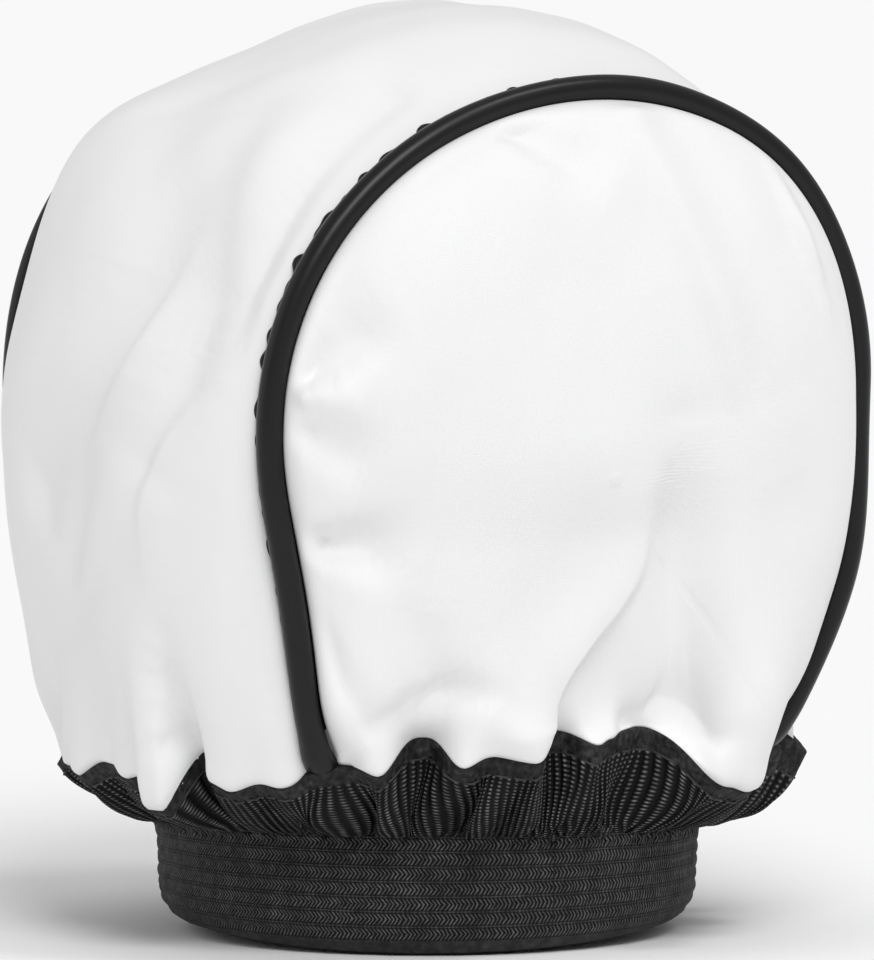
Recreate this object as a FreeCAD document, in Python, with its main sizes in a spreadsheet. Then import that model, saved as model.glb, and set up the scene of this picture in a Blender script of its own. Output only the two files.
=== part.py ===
"""Cloth flash diffuser: a white nylon dome on two piping hoops, gathered into a wide elastic band.

Millimetres, +Z up. The origin is the centre of the band's lower rim. The hoops stand in planes of
constant X; the crown strip runs over the top along Y; the side panels close the dome at +X and -X.
"""
import FreeCAD, Part
import math
import os

import Sketcher

Vector = FreeCAD.Vector

DRIVING = {
    "band_bore_radius": 33.0,  # relaxed mouth of the elastic band
    "band_wall": 1.6,
    "band_height": 14.0,  # the relaxed, ribbed part below the frill
    "rim_land": 0.8,  # flat ring that the band stands on
    "rim_round": 0.8,
    "frill_rim_radius": 46.2,
    "frill_rim_height": 24.6,
    "frill_wall": 1.3,
    "hoop_offset": 34.5,  # distance from the middle plane to each hoop's plane
    "hoop_half_width": 43.0,
    "hoop_top": 111.3,
    "hoop_top_radius": 48.0,
    "hoop_top_angle": 25.0,  # degrees each side of the apex that the top arc spans
    "hoop_foot_half_width": 34.0,
    "hoop_foot_height": 26.2,
    "piping_radius": 1.75,
    "core_radius": 1.0,
    "core_clearance": 0.05,
    "flange_depth": 6.0,  # from the piping's centre line to the flange's free edge
    "flange_thickness": 0.6,
    "cloth_thickness": 0.6,
    "cloth_tuck": 2.9,  # the cloth meets the flange this far inside the piping's centre line
    "cloth_gap": 0.35,  # between the cloth's edge and the flange's face
    "crown_rise_top": 7.8,  # how far the crown strip puffs out past the hoops
    "crown_rise_waist": 9.0,
    "crown_rise_foot": 12.2,
    "side_rise_waist": 13.0,
    "side_rise_foot": 11.7,
    "thread_radius": 0.2,
    "seam_stitch_length": 2.2,
    "seam_stitch_pitch": 3.0,
    "seam_stitch_depth": 4.7,
    "gather_stitch_length": 2.4,
    "gather_stitch_count": 84.0,
    "join_zigzag_half_width": 2.2,
    "join_zigzag_count": 8.0,
}

doc = FreeCAD.newDocument("flash_diffuser")
sizes = doc.addObject("Spreadsheet::Sheet", "sizes")
for row, (alias, value) in enumerate(DRIVING.items(), start=1):
    sizes.set(f"A{row}", alias)
    sizes.set(f"B{row}", str(value))
    sizes.setAlias(f"B{row}", alias)
doc.recompute()


def cell(alias):
    """A driving dimension, read from the sheet."""
    return float(sizes.get(alias))


class Arch:
    """The hoop's centre line in its own plane: a top arc, a shoulder arc and a flat side arc, tangent."""

    def __init__(self):
        sine = math.sin(math.radians(cell("hoop_top_angle")))
        cosine = math.cos(math.radians(cell("hoop_top_angle")))
        self.half_width = cell("hoop_half_width")
        self.top_radius = cell("hoop_top_radius")
        self.top_centre = cell("hoop_top") - self.top_radius
        self.shoulder_radius = (self.half_width - self.top_radius * sine) / (1 - sine)
        self.shoulder_y = (self.top_radius - self.shoulder_radius) * sine
        self.waist = self.top_centre + (self.top_radius - self.shoulder_radius) * cosine
        self.tangent_y = self.top_radius * sine
        self.tangent_z = self.top_centre + self.top_radius * cosine
        drop = self.half_width - cell("hoop_foot_half_width")
        fall = self.waist - cell("hoop_foot_height")
        self.side_radius = (fall**2 + drop**2) / (2 * drop)
        self.side_y = self.half_width - self.side_radius

    def reach(self, angle, inset):
        """Distance from the waist's middle to the arch, inset, at an angle above the horizontal."""
        angle = min(angle, math.pi - angle)
        if angle < math.atan2(self.tangent_z - self.waist, self.tangent_y):
            radius = self.shoulder_radius - inset
            across = self.shoulder_y * math.sin(angle)
            return self.shoulder_y * math.cos(angle) + math.sqrt(radius**2 - across**2)
        radius = self.top_radius - inset
        lift = self.top_centre - self.waist
        return lift * math.sin(angle) + math.sqrt(radius**2 - (lift * math.cos(angle)) ** 2)

    def width_at(self, height, inset):
        """Half width of the arch, inset, at a height."""
        if height >= self.waist:
            if height > self.tangent_z:
                radius = self.top_radius - inset
                return math.sqrt(max(radius**2 - (height - self.top_centre) ** 2, 0))
            radius = self.shoulder_radius - inset
            return self.shoulder_y + math.sqrt(radius**2 - (height - self.waist) ** 2)
        radius = self.side_radius - inset
        return self.side_y + math.sqrt(radius**2 - (self.waist - height) ** 2)

    def walk(self, inset):
        """Arcs from the apex to the foot at +Y as (centre y, centre z, radius, start, end angle)."""
        turn = math.radians(90 - cell("hoop_top_angle"))
        foot = math.asin((cell("hoop_foot_height") - self.waist) / self.side_radius)
        return [
            (0.0, self.top_centre, self.top_radius - inset, math.pi / 2, turn),
            (self.shoulder_y, self.waist, self.shoulder_radius - inset, turn, 0.0),
            (self.side_y, self.waist, self.side_radius - inset, 0.0, foot),
        ]

    def stations(self, inset, pitch):
        """Points and tangents every pitch along the inset half arch, from half a pitch past the apex."""
        found = []
        along = pitch / 2
        for y, z, radius, start, end in self.walk(inset):
            length = radius * (start - end)
            while along < length:
                angle = start - along / radius
                point = (y + radius * math.cos(angle), z + radius * math.sin(angle))
                found.append((point, (math.sin(angle), -math.cos(angle))))
                along += pitch
            along -= length
        return found


arch = Arch()


def new_body(label):
    body = doc.addObject("PartDesign::Body", label)
    body.Label = label
    return body


def plane(body, role):
    return next(f for f in body.Origin.OriginFeatures if f.Role == role)


def new_sketch(body, role, name):
    sketch = body.newObject("Sketcher::SketchObject", name)
    sketch.AttachmentSupport = [(plane(body, role), "")]
    sketch.MapMode = "FlatFace"
    return sketch


def constrain(sketch, *arguments, to=None):
    """Adds one constraint, and binds it to a spreadsheet expression if one is given."""
    index = sketch.addConstraint(Sketcher.Constraint(*arguments))
    if to is not None:
        sketch.setExpression(f"Constraints[{index}]", to)
    return index


ORIGIN = (-1, 1)


def place_point(sketch, geometry, end, across, up):
    """Fixes a sketch point by two expressions, each with its starting value."""
    for kind, (value, expression) in (("DistanceX", across), ("DistanceY", up)):
        constrain(sketch, kind, *ORIGIN, geometry, end, value, to=expression)


def draw_arc(sketch, centre, radius, start, end):
    circle = Part.Circle(Vector(centre[0], centre[1], 0), Vector(0, 0, 1), radius)
    return sketch.addGeometry(Part.ArcOfCircle(circle, start, end), False)


def hoop_path(body, side):
    """Half a hoop, apex to foot, in the hoop's own plane."""
    sketch = new_sketch(body, "YZ_Plane", body.Label + "_path")
    sketch.setExpression(".AttachmentOffset.Base.z", f"{side} * sizes.hoop_offset")
    arcs = []
    for y, z, radius, start, end in arch.walk(0):
        arcs.append(draw_arc(sketch, (y, z), radius, end, start))
    top, shoulder, flank = arcs
    constrain(sketch, "Tangent", top, 1, shoulder, 2)
    constrain(sketch, "Tangent", shoulder, 1, flank, 2)
    constrain(sketch, "Radius", top, arch.top_radius, to="sizes.hoop_top_radius")
    place_point(sketch, top, 2, (0.0, "0 mm"), (cell("hoop_top"), "sizes.hoop_top * 1 mm"))
    constrain(sketch, "PointOnObject", top, 3, -2)
    constrain(
        sketch, "DistanceX", *ORIGIN, top, 1, arch.tangent_y,
        to="sizes.hoop_top_radius * sin(sizes.hoop_top_angle * 1 deg) * 1 mm",
    )
    constrain(
        sketch, "DistanceX", *ORIGIN, shoulder, 1, arch.half_width, to="sizes.hoop_half_width * 1 mm"
    )
    constrain(sketch, "Horizontal", shoulder, 3, shoulder, 1)
    constrain(sketch, "DistanceX", *ORIGIN, flank, 1, cell("hoop_foot_half_width"),
              to="sizes.hoop_foot_half_width * 1 mm")
    constrain(sketch, "DistanceY", *ORIGIN, flank, 1, cell("hoop_foot_height"),
              to="sizes.hoop_foot_height * 1 mm")
    return sketch


def sweep_hoop(body, profile, side):
    """Sweeps a profile drawn at the apex down to one foot, then mirrors it to the other."""
    doc.recompute()
    pipe = body.newObject("PartDesign::AdditivePipe", body.Label + "_sweep")
    pipe.Profile = profile
    pipe.Spine = (hoop_path(body, side), ["Edge1", "Edge2", "Edge3"])
    doc.recompute()
    mirror = body.newObject("PartDesign::Mirrored", body.Label + "_mirror")
    mirror.Originals = [pipe]
    mirror.MirrorPlane = (plane(body, "XZ_Plane"), [""])
    body.Tip = mirror
    doc.recompute()


def piping(name, side):
    """The extruded piping: a tube for the filler cord with a flat flange that is sewn into the seam."""
    body = new_body(name)
    sketch = new_sketch(body, "XZ_Plane", name + "_profile")
    radius = cell("piping_radius")
    half = cell("flange_thickness") / 2
    across = side * cell("hoop_offset")
    top = cell("hoop_top")
    shut = math.asin(half / radius)
    neck = math.sqrt(radius**2 - half**2)
    tail = cell("flange_depth")
    skin = draw_arc(sketch, (across, top), radius, -math.pi / 2 + shut, 1.5 * math.pi - shut)
    corners = [(half, -neck), (half, -tail), (-half, -tail), (-half, -neck)]
    lines = []
    for a, b in zip(corners, corners[1:]):
        ends = [Vector(across + x, top + z, 0) for x, z in (a, b)]
        lines.append(sketch.addGeometry(Part.LineSegment(*ends), False))
    hole_radius = cell("core_radius") + cell("core_clearance")
    hole = sketch.addGeometry(
        Part.Circle(Vector(across, top, 0), Vector(0, 0, 1), hole_radius), False
    )
    centre_x = (across, f"{side} * sizes.hoop_offset * 1 mm")
    place_point(sketch, skin, 3, centre_x, (top, "sizes.hoop_top * 1 mm"))
    constrain(sketch, "Radius", skin, radius, to="sizes.piping_radius * 1 mm")
    constrain(sketch, "Coincident", hole, 3, skin, 3)
    constrain(sketch, "Radius", hole, hole_radius, to="(sizes.core_radius + sizes.core_clearance) * 1 mm")
    constrain(sketch, "Coincident", skin, 1, lines[0], 1)
    constrain(sketch, "Coincident", lines[0], 2, lines[1], 1)
    constrain(sketch, "Coincident", lines[1], 2, lines[2], 1)
    constrain(sketch, "Coincident", lines[2], 2, skin, 2)
    constrain(sketch, "Vertical", lines[0])
    constrain(sketch, "Vertical", lines[2])
    constrain(sketch, "Horizontal", lines[1])
    constrain(sketch, "DistanceX", *ORIGIN, lines[0], 2, across + half,
              to=f"({side} * sizes.hoop_offset + sizes.flange_thickness / 2) * 1 mm")
    constrain(sketch, "DistanceX", *ORIGIN, lines[1], 2, across - half,
              to=f"({side} * sizes.hoop_offset - sizes.flange_thickness / 2) * 1 mm")
    constrain(sketch, "DistanceY", *ORIGIN, lines[1], 1, top - tail,
              to="(sizes.hoop_top - sizes.flange_depth) * 1 mm")
    sweep_hoop(body, sketch, side)
    return body


def piping_core(name, side):
    """The filler cord inside the piping, which makes the hoop spring back."""
    body = new_body(name)
    sketch = new_sketch(body, "XZ_Plane", name + "_profile")
    centre = Vector(side * cell("hoop_offset"), cell("hoop_top"), 0)
    disc = sketch.addGeometry(Part.Circle(centre, Vector(0, 0, 1), cell("core_radius")), False)
    place_point(
        sketch, disc, 3, (centre.x, f"{side} * sizes.hoop_offset * 1 mm"),
        (centre.y, "sizes.hoop_top * 1 mm"),
    )
    constrain(sketch, "Radius", disc, cell("core_radius"), to="sizes.core_radius * 1 mm")
    sweep_hoop(body, sketch, side)
    return body


def elastic_band(name):
    """The knitted elastic: a relaxed tube with a rounded rim, its upper edge stretched to a frill."""
    body = new_body(name)
    sketch = new_sketch(body, "XZ_Plane", name + "_profile")
    bore = cell("band_bore_radius")
    wall = cell("band_wall")
    edge = cell("rim_round")
    height = cell("band_height")
    rim = cell("frill_rim_radius")
    rim_height = cell("frill_rim_height")
    frill = cell("frill_wall")
    bound = {
        "bore": "sizes.band_bore_radius",
        "outer": "sizes.band_bore_radius + sizes.band_wall",
        "land": "sizes.band_bore_radius + sizes.rim_land",
        "height": "sizes.band_height",
        "edge": "sizes.rim_round",
        "rim": "sizes.frill_rim_radius",
        "inner_rim": "sizes.frill_rim_radius - sizes.frill_wall",
        "rim_height": "sizes.frill_rim_height",
        "floor": "0",
    }
    outline = [
        ((bore, "bore"), (0.0, "floor")),
        ((bore + cell("rim_land"), "land"), (0.0, "floor")),
        ((bore + wall, "outer"), (edge, "edge")),
        ((bore + wall, "outer"), (height, "height")),
        ((rim, "rim"), (rim_height, "rim_height")),
        ((rim - frill, "inner_rim"), (rim_height, "rim_height")),
        ((bore, "bore"), (height, "height")),
    ]
    count = len(outline)
    points = [Vector(x[0], z[0], 0) for x, z in outline]
    lines = [
        sketch.addGeometry(Part.LineSegment(points[i], points[(i + 1) % count]), False)
        for i in range(count)
    ]
    for i, line in enumerate(lines):
        constrain(sketch, "Coincident", line, 2, lines[(i + 1) % count], 1)
    for line, (x, z) in zip(lines, outline):
        place_point(
            sketch, line, 1, (x[0], f"({bound[x[1]]}) * 1 mm"), (z[0], f"({bound[z[1]]}) * 1 mm")
        )
    doc.recompute()
    turn = body.newObject("PartDesign::Revolution", name + "_turn")
    turn.Profile = sketch
    turn.ReferenceAxis = (sketch, ["V_Axis"])
    turn.Angle = 360
    doc.recompute()
    return body


def finished(name, shape):
    """A sub-part whose shape no sketch feature can make."""
    feature = doc.addObject("Part::Feature", name)
    feature.Label = name
    feature.Shape = shape
    return feature


def cloth_section(left, middle, right, inward):
    """One closed section of a cloth panel: two bowed arcs a cloth thickness apart."""
    step = inward * cell("cloth_thickness")
    outer = Part.Arc(left, middle, right).toShape()
    inner = Part.Arc(right + step, middle + step, left + step).toShape()
    return Part.Wire([
        outer,
        Part.LineSegment(right, right + step).toShape(),
        inner,
        Part.LineSegment(left + step, left).toShape(),
    ])


def rise_below_waist(waist_rise, foot_rise, height):
    """How far the cloth puffs out at a height between the foot and the waist."""
    share = (arch.waist - height) / (arch.waist - cell("hoop_foot_height"))
    return waist_rise + (foot_rise - waist_rise) * share**1.5


LEVELS_BELOW_WAIST = 4
FAN_STEPS = 12


def levels():
    """Heights from the foot up to just under the waist."""
    foot = cell("hoop_foot_height")
    return [foot + (arch.waist - foot) * i / LEVELS_BELOW_WAIST for i in range(LEVELS_BELOW_WAIST)]


def crown_strip(name):
    """The gusset of cloth from the front of the band over the top to its back."""
    tuck = cell("cloth_tuck")
    edge = cell("hoop_offset") - cell("flange_thickness") / 2 - cell("cloth_gap")

    def level_section(height, facing):
        near = facing * arch.width_at(height, tuck)
        rise = rise_below_waist(cell("crown_rise_waist"), cell("crown_rise_foot"), height)
        far = facing * (arch.width_at(height, 0) + rise)
        corners = Vector(-edge, near, height), Vector(0, far, height), Vector(edge, near, height)
        return cloth_section(*corners, Vector(0, -facing, 0))

    def fan_section(angle):
        out = Vector(0, math.cos(angle), math.sin(angle))
        pivot = Vector(0, 0, arch.waist)
        rise = cell("crown_rise_waist")
        rise += (cell("crown_rise_top") - rise) * math.sin(angle)
        near = pivot + out * arch.reach(angle, tuck)
        far = pivot + out * (arch.reach(angle, 0) + rise)
        return cloth_section(near - Vector(edge, 0, 0), far, near + Vector(edge, 0, 0), out * -1)

    wires = [level_section(height, 1) for height in levels()]
    wires += [fan_section(math.pi * i / FAN_STEPS) for i in range(FAN_STEPS + 1)]
    wires += [level_section(height, -1) for height in reversed(levels())]
    return finished(name, Part.makeLoft(wires, True, False))


SIDE_LEVELS_ABOVE_WAIST = 8
SIDE_TOP_GAP = 0.7  # the last level stands this far under the arch's inner crown


def side_panel(name, side):
    """A D-shaped panel that closes the dome inside one hoop."""
    tuck = cell("cloth_tuck")
    edge = cell("hoop_offset") + cell("flange_thickness") / 2 + cell("cloth_gap")
    edge += cell("cloth_thickness")  # the sections below are this thick towards the flange
    crest = cell("hoop_top") - tuck

    def section(height):
        half = arch.width_at(height, tuck)
        if height <= arch.waist:
            rise = rise_below_waist(cell("side_rise_waist"), cell("side_rise_foot"), height)
        else:
            share = (height - arch.waist) / (crest - arch.waist)
            rise = cell("side_rise_waist") * (1 - share**2.2) ** 0.75
        far = max(cell("hoop_offset") + rise, edge + cell("cloth_thickness"))
        return cloth_section(
            Vector(side * edge, -half, height), Vector(side * far, 0, height),
            Vector(side * edge, half, height), Vector(-side, 0, 0),
        )

    top = crest - SIDE_TOP_GAP
    heights = levels()
    for i in range(SIDE_LEVELS_ABOVE_WAIST + 1):
        share = i / SIDE_LEVELS_ABOVE_WAIST
        heights.append(arch.waist + (top - arch.waist) * math.sin(share * math.pi / 2))
    return finished(name, Part.makeLoft([section(height) for height in heights], True, False))


def stitch(start, end):
    """One straight length of thread between two points."""
    run = end - start
    return Part.makeCylinder(cell("thread_radius"), run.Length, start, run)


THREAD_GAP = 0.03  # keeps a stitch clear of the face that it lies on


def piping_seam_thread(name, side):
    """The lockstitch through the piping flange, seen on both faces of it."""
    reach = cell("seam_stitch_length") / 2
    off = cell("flange_thickness") / 2 + cell("thread_radius") + THREAD_GAP
    stitches = []
    for (y, z), (run_y, run_z) in arch.stations(cell("seam_stitch_depth"), cell("seam_stitch_pitch")):
        for facing in (1, -1):
            for face in (off, -off):
                middle = Vector(side * cell("hoop_offset") + face, facing * y, z)
                run = Vector(0, facing * run_y, run_z) * reach
                stitches.append(stitch(middle - run, middle + run))
    return finished(name, Part.makeCompound(stitches))


def gather_seam_thread(name):
    """The stitches round the frill's rim that hold the gathered cloth."""
    count = int(cell("gather_stitch_count"))
    run = cell("frill_rim_radius") - cell("band_bore_radius") - cell("band_wall")
    rise = cell("frill_rim_height") - cell("band_height")
    slope = math.hypot(run, rise)
    back = 2.0  # distance down the frill from its rim
    off = cell("thread_radius") + THREAD_GAP
    radius = cell("frill_rim_radius") - back * run / slope + off * rise / slope
    height = cell("frill_rim_height") - back * rise / slope - off * run / slope
    half_turn = cell("gather_stitch_length") / 2 / radius
    stitches = []
    for i in range(count):
        middle = 2 * math.pi * i / count
        ends = [
            Vector(radius * math.cos(a), radius * math.sin(a), height)
            for a in (middle - half_turn, middle + half_turn)
        ]
        stitches.append(stitch(*ends))
    return finished(name, Part.makeCompound(stitches))


def band_join_thread(name):
    """The zigzag at the back that joins the two ends of the elastic."""
    count = int(cell("join_zigzag_count"))
    half = cell("join_zigzag_half_width")
    outer = cell("band_bore_radius") + cell("band_wall")
    off = cell("thread_radius") + THREAD_GAP
    low = cell("rim_round") + 1.0
    step = (cell("band_height") - 1.0 - low) / count
    stitches = []
    for i in range(count):
        across = half if i % 2 else -half
        start = Vector(-across * 0.85, outer + off, low + step * i)
        end = Vector(across * 0.85, outer + off, low + step * (i + 0.85))
        stitches.append(stitch(start, end))
    return finished(name, Part.makeCompound(stitches))


SIDES = {"right": 1, "left": -1}

parts = [
    elastic_band("elastic_band"),
    gather_seam_thread("gather_seam_thread"),
    band_join_thread("band_join_thread"),
    crown_strip("crown_strip"),
]
for word, side in SIDES.items():
    parts.append(piping(f"piping_{word}", side))
    parts.append(piping_core(f"piping_core_{word}", side))
    parts.append(side_panel(f"side_panel_{word}", side))
    parts.append(piping_seam_thread(f"piping_seam_thread_{word}", side))

doc.recompute()
for thing in doc.Objects:
    if "Invalid" in thing.State or "Error" in thing.State:
        raise RuntimeError(f"{thing.Label} failed: {thing.State}")
for part in parts:
    if part.Shape.isNull() or not part.Shape.isValid() or not part.Shape.Solids:
        raise RuntimeError(f"{part.Label} has no valid solid")

os.makedirs("parts", exist_ok=True)
for part in parts:
    part.Shape.exportStep(os.path.join("parts", part.Label + ".step"))
    print(f"{part.Label}: {len(part.Shape.Solids)} solids, {part.Shape.Volume:.1f} mm3")
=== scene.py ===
"""Cloth flash diffuser: the looks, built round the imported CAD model.

Shapes are worked out in millimetres in the model's own frame, +Z up, with the band's lower rim on z = 0,
and turned into metres where a mesh is made. Angles round the band are degrees from +X towards +Y.
"""
import math

import bpy
import numpy as np
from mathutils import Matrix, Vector


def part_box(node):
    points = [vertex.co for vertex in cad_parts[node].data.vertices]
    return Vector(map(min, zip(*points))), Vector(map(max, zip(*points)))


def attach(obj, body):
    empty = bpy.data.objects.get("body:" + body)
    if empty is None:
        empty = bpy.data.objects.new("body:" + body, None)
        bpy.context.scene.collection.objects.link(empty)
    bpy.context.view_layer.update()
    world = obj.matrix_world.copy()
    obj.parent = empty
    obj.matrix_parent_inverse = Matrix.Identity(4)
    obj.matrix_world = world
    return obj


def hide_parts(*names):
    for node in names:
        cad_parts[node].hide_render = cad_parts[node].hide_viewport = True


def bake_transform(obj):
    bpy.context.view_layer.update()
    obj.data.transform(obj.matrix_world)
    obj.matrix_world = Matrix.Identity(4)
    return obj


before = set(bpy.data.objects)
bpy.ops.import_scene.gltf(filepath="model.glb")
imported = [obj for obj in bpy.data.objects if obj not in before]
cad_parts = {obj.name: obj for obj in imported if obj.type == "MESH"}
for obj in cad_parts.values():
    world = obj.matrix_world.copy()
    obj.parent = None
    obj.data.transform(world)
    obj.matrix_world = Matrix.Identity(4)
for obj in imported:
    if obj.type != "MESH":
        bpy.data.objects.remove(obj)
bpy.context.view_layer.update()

MM = 0.001
TURN = 2 * math.pi


def node_box(node):
    """A CAD node's lowest and highest corners, in millimetres."""
    low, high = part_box(node)
    return np.array(low) / MM, np.array(high) / MM


# ---- sizes read from the frame

PIPING_LOW, PIPING_HIGH = node_box("piping_right")
PIPE_RADIUS = (PIPING_HIGH[0] - PIPING_LOW[0]) / 2
HOOP_X = (PIPING_HIGH[0] + PIPING_LOW[0]) / 2
HOOP_TOP = PIPING_HIGH[2] - PIPE_RADIUS
HOOP_HALF_WIDTH = PIPING_HIGH[1] - PIPE_RADIUS
CORE_LOW, CORE_HIGH = node_box("piping_core_right")
CORE_RADIUS = (CORE_HIGH[0] - CORE_LOW[0]) / 2
BAND_TOP = node_box("elastic_band")[1][2]
SEAM_Z = BAND_TOP - 1.5
CROWN_RISE_TOP = node_box("crown_strip")[1][2] - HOOP_TOP
SIDE_RISE = node_box("side_panel_right")[1][0] - HOOP_X

# ---- sizes set here

TOP_ARC_RADIUS = 48.0
TOP_ARC_ANGLE = math.radians(25)
FOOT_HALF_WIDTH = 34.0
FOOT_HEIGHT = 26.2
LEAN_AT_FOOT = -0.75  # how far the soft dome leans along +Y, from its feet to its top
LEAN_AT_TOP = 4.65
TOP_SAG = 0.6  # the tops of the hoops sag this much
LEFT_HOOP_DIP = 2.6  # the left hoop is pushed in this much at its upper -Y side
DIP_ANGLE = 113.0  # degrees, from +Y over the top
LEFT_HOOP_LAG = 2.2  # the left hoop's top leans this much less
LEFT_HOOP_BULGE = 0.6  # the left hoop's middle leans this much more
LEG_SPREAD = 1.6  # the legs' lower halves stand this much further along +Y
SHOULDER_DENT = 1.5  # the shoulder at +Y is pushed in this much
CLOTH_THICKNESS = 0.3
CLOTH_TUCK = 3.0  # the cloth runs on this far inside the piping
CLOTH_GAP = 0.12  # between the cloth and the piping's surface
THREAD_WIDTH = 0.32  # of the cloth's weave
SIDE_MIDDLE = 62.0  # height of the side panels' middle
FOLD_STRENGTH = 1.35
FOLD_END = 3.5  # a fold dies out over this length past its end

FOOT_RUN = 1.8  # the piping runs on this far below its foot, behind the frill's edge
FLANGE_THICKNESS = 0.6
FLANGE_DEPTH = 4.6

BORE_RADIUS = 33.0
BORE_TOP = 15.0
RIM_PROFILE = ((31.8, 0.3), (31.3, 0.05), (30.9, 0.0), (30.6, 0.3), (31.2, 1.2))  # radius, height
TUBE_RADIUS_LOW = 33.95
TUBE_RADIUS_HIGH = 34.7
TUBE_HEIGHT = 14.1
TUBE_TILT = 1.5  # the relaxed part is this much taller on one side and shorter on the other
TUBE_TALL_SIDE = -40.0  # degrees
RIB_PITCH = 1.85
SELVEDGE_HEIGHT = 2.0
LAP_RISE = 0.5  # how far the elastic's lapped end stands off the tube
LAP_HALF_TURN = 6.0  # degrees
RIM_LIFT = 1.6  # the lower edge stands this much higher at two opposite sides
RIM_LIFT_SIDE = 62.0  # degrees
STITCHES_ROUND = 400
JOIN_AZIMUTH = 90.0  # degrees: the elastic's ends lap here, at the back
JOIN_HALF_TURN = 2.6  # degrees to each side of the zigzag
JOIN_STITCHES = 14
FRILL_LENGTH = 14.4
FRILL_DRAW = 2.2  # the frill is drawn out this much longer on one side
DRAW_SIDE = 64.0  # degrees
DROOP_SIDE = 66.0  # degrees: here the frill runs out furthest before it climbs
SLACK_SIDE = 68.0  # degrees: here the cloth above the seam is slackest
SMALL_SLACK_SIDE = -118.0  # degrees
FRILL_COLUMNS = 300
BAR_PITCH = 0.5
HEM_SHARE = 0.86  # above this share of the frill is its smoother hem
LAST_BAR = math.floor(HEM_SHARE * FRILL_LENGTH / BAR_PITCH) + 0.5
SEAM_RADIUS = 47.3
FRILL_THICKNESS = 1.1
RUFFLE = 3.6  # strength of the frill's ruffles
FOOT_AZIMUTHS = (-45.0, 45.0, 135.0, 225.0)
FOOT_PULL = 1.5  # the hoops' feet hold the ruffled seam up by this much
GATHER_STITCHES = 120

WORLD_STRENGTH = 0.52
FLOOR_SIZE = 8.0  # metres


def smooth(t):
    """Smooth step from 0 to 1."""
    t = np.clip(t, 0, 1)
    return t * t * (3 - 2 * t)


def bump(t):
    """A round hump, 1 at t = 0 and 0 beyond t = -1 and 1."""
    return np.where(np.abs(t) < 1, np.cos(np.clip(t, -1, 1) * math.pi / 2) ** 2, 0)


def hump(value, middle, reach):
    """A round hump, 1 at the middle and 0 beyond its reach on each side."""
    return bump((value - middle) / reach)


def step_up(value, start, run):
    """Smooth step from 0 at the start to 1 at the end of the run."""
    return smooth((value - start) / run)


def turn_from(azimuth, centre):
    """Degrees from the centre to an azimuth, from -180 to 180."""
    return (azimuth - centre + 180) % 360 - 180


def unit(vectors):
    return vectors / np.linalg.norm(vectors, axis=-1, keepdims=True)


# ---- the hoop's curve


class Arch:
    """The hoops' centre line in its own plane: a top arc, a shoulder and a flat flank, tangent."""

    def __init__(self):
        sine, cosine = math.sin(TOP_ARC_ANGLE), math.cos(TOP_ARC_ANGLE)
        shoulder = (HOOP_HALF_WIDTH - TOP_ARC_RADIUS * sine) / (1 - sine)
        top_centre = HOOP_TOP - TOP_ARC_RADIUS
        self.waist = top_centre + (TOP_ARC_RADIUS - shoulder) * cosine
        fall = self.waist - FOOT_HEIGHT
        drop = HOOP_HALF_WIDTH - FOOT_HALF_WIDTH
        flank = (fall**2 + drop**2) / (2 * drop)
        self.centres = np.array([
            (0.0, top_centre),
            ((TOP_ARC_RADIUS - shoulder) * sine, self.waist),
            (HOOP_HALF_WIDTH - flank, self.waist),
        ])
        self.radii = np.array([TOP_ARC_RADIUS, shoulder, flank])
        self.starts = np.array([math.pi / 2, math.pi / 2 - TOP_ARC_ANGLE, 0.0])
        spans = np.array([TOP_ARC_ANGLE, math.pi / 2 - TOP_ARC_ANGLE, math.asin(fall / flank)])
        self.ends = np.cumsum(self.radii * spans)
        self.half_length = self.ends[-1]

    def at(self, length):
        """(y, z) and the outward normal at signed lengths from the apex, + towards +Y."""
        length = np.asarray(length, float)
        along = np.abs(length)
        piece = np.minimum(np.searchsorted(self.ends, along), 2)
        begun = np.concatenate([[0.0], self.ends])[piece]
        angle = self.starts[piece] - (along - begun) / self.radii[piece]
        normal = np.stack([np.cos(angle), np.sin(angle)], -1)
        point = self.centres[piece] + normal * self.radii[piece][..., None]
        side = np.where(length < 0, -1.0, 1.0)
        flip = np.stack([side, np.ones_like(side)], -1)
        return point * flip, normal * flip


ARCH = Arch()


def lean(points):
    """The soft dome's set: it leans along +Y with height, with its legs and a shoulder out of true."""
    x, y, z = points[..., 0], points[..., 1], points[..., 2]
    t = np.clip((z - FOOT_HEIGHT) / (HOOP_TOP - FOOT_HEIGHT), 0, 1.1)
    leftness = smooth((HOOP_X - x) / (2 * HOOP_X))
    top = LEAN_AT_TOP - LEFT_HOOP_LAG * leftness
    shift = LEAN_AT_FOOT + (top - LEAN_AT_FOOT) * t
    shift = shift + LEG_SPREAD * (1 - 0.3 * np.clip(y / 20, -1, 1)) * hump(z, 45, 26)
    shift = shift - SHOULDER_DENT * hump(z, 80, 34) * step_up(y, 10, 25)
    shift = shift + LEFT_HOOP_BULGE * leftness * hump(z, 72, 30)
    turn = np.degrees(np.arctan2(z - ARCH.waist, y))
    dip = LEFT_HOOP_DIP * leftness * hump(turn, DIP_ANGLE, 34)
    leaned = points.copy()
    leaned[..., 1] += shift * step_up(z, BAND_TOP - 4, 6)
    leaned[..., 2] -= TOP_SAG * step_up(z, 75, 36)
    leaned[..., 1] -= dip * np.cos(np.radians(turn))
    leaned[..., 2] -= dip * np.sin(np.radians(turn))
    return leaned


# ---- the ruffled seam

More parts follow.
